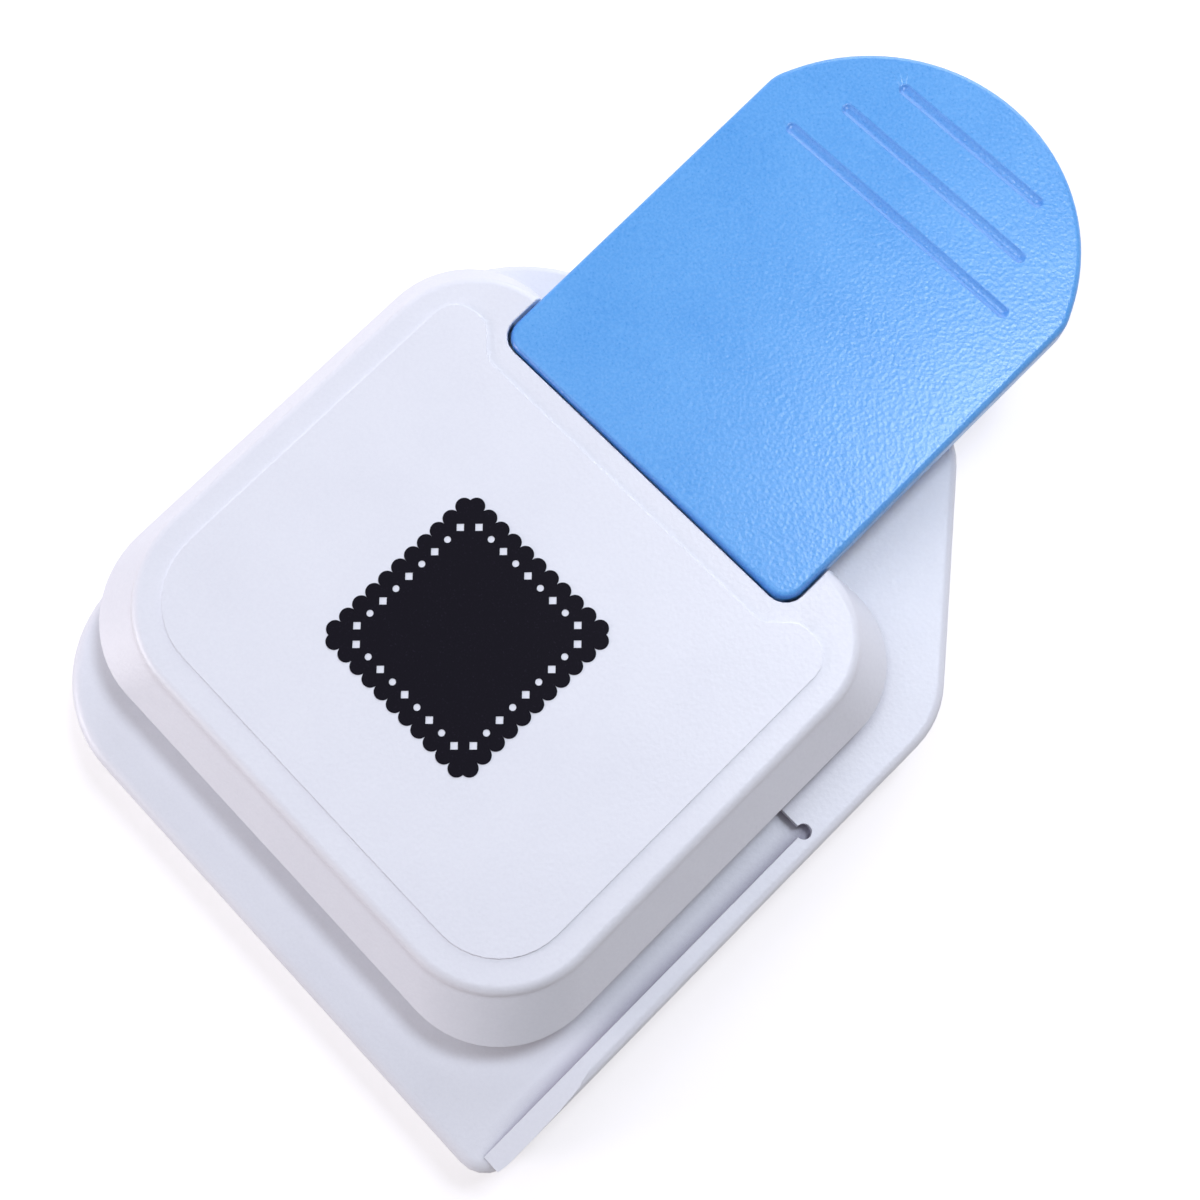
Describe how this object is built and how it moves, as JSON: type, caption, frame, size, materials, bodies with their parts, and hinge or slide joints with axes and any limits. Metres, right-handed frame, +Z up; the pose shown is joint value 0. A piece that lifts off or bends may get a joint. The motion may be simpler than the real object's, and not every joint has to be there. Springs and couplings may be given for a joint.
{
  "type": "border punch",
  "caption": "Craft border punch: a flared white head over a low base with paper table, fence and stop, pressed by a broad blue lever that springs back.",
  "frame": {"origin": "on the ground under the middle of the whole object's box, lever included", "axes": "+X to the right towards the fence, +Y to the back along the lever, +Z up"},
  "size_m": [0.1272, 0.2009, 0.0375],
  "materials": {
    "white_shell": "fine satin, moulded",
    "blue_lever": "fine matt grain",
    "steel": "ground",
    "dark_steel": "oiled",
    "rubber": "matt",
    "ink": "printed film",
    "bushing": "acetal, moulded"
  },
  "bodies": {
    "base": {"base_shell": "white_shell", "rear_deck": "white_shell", "bottom_plate": "white_shell", "rubber_feet": "rubber", "bottom_screws": "steel", "die_plate": "steel", "die_screws": "dark_steel", "head_tray": "white_shell", "guide_plate": "steel", "guide_screws": "dark_steel", "head_shell": "white_shell", "head_screws": "steel", "tray_screws": "steel", "printed_mark": "ink", "guide_posts": "steel", "post_clips": "dark_steel", "return_spring_left": "steel", "return_spring_right": "steel", "fulcrum_brackets": "steel", "bracket_rivets": "dark_steel", "fulcrum_pin": "steel", "fulcrum_clips": "dark_steel"},
    "lever": {"lever_fork": "steel", "fork_bushes": "bushing", "presser_bar": "dark_steel", "lever_handle": "blue_lever", "lever_screws": "dark_steel"},
    "carriage": {"punch_carriage": "dark_steel", "carriage_bushes": "bushing", "petal_punches": "steel", "eyelet_punches": "steel", "bead_punches": "steel"}
  },
  "joints": [
    {"name": "lever_hinge", "type": "hinge", "parent": "base", "child": "lever", "pos_m": [-0.00415, -0.06896, 0.0274], "axis": [-1, 0, 0], "range_deg": [0, 5.01], "stiffness_Nm_per_rad": 3.6, "springref_deg": -5.16},
    {"name": "carriage_slide", "type": "slide", "parent": "base", "child": "carriage", "axis": [0, 0, -1], "range_m": [0, 0.00281], "deforming": ["return_spring_left", "return_spring_right"]}
  ],
  "couplings": [
    {"joint": "carriage_slide", "follows": "lever_hinge", "m_per_rad": 0.032}
  ]
}
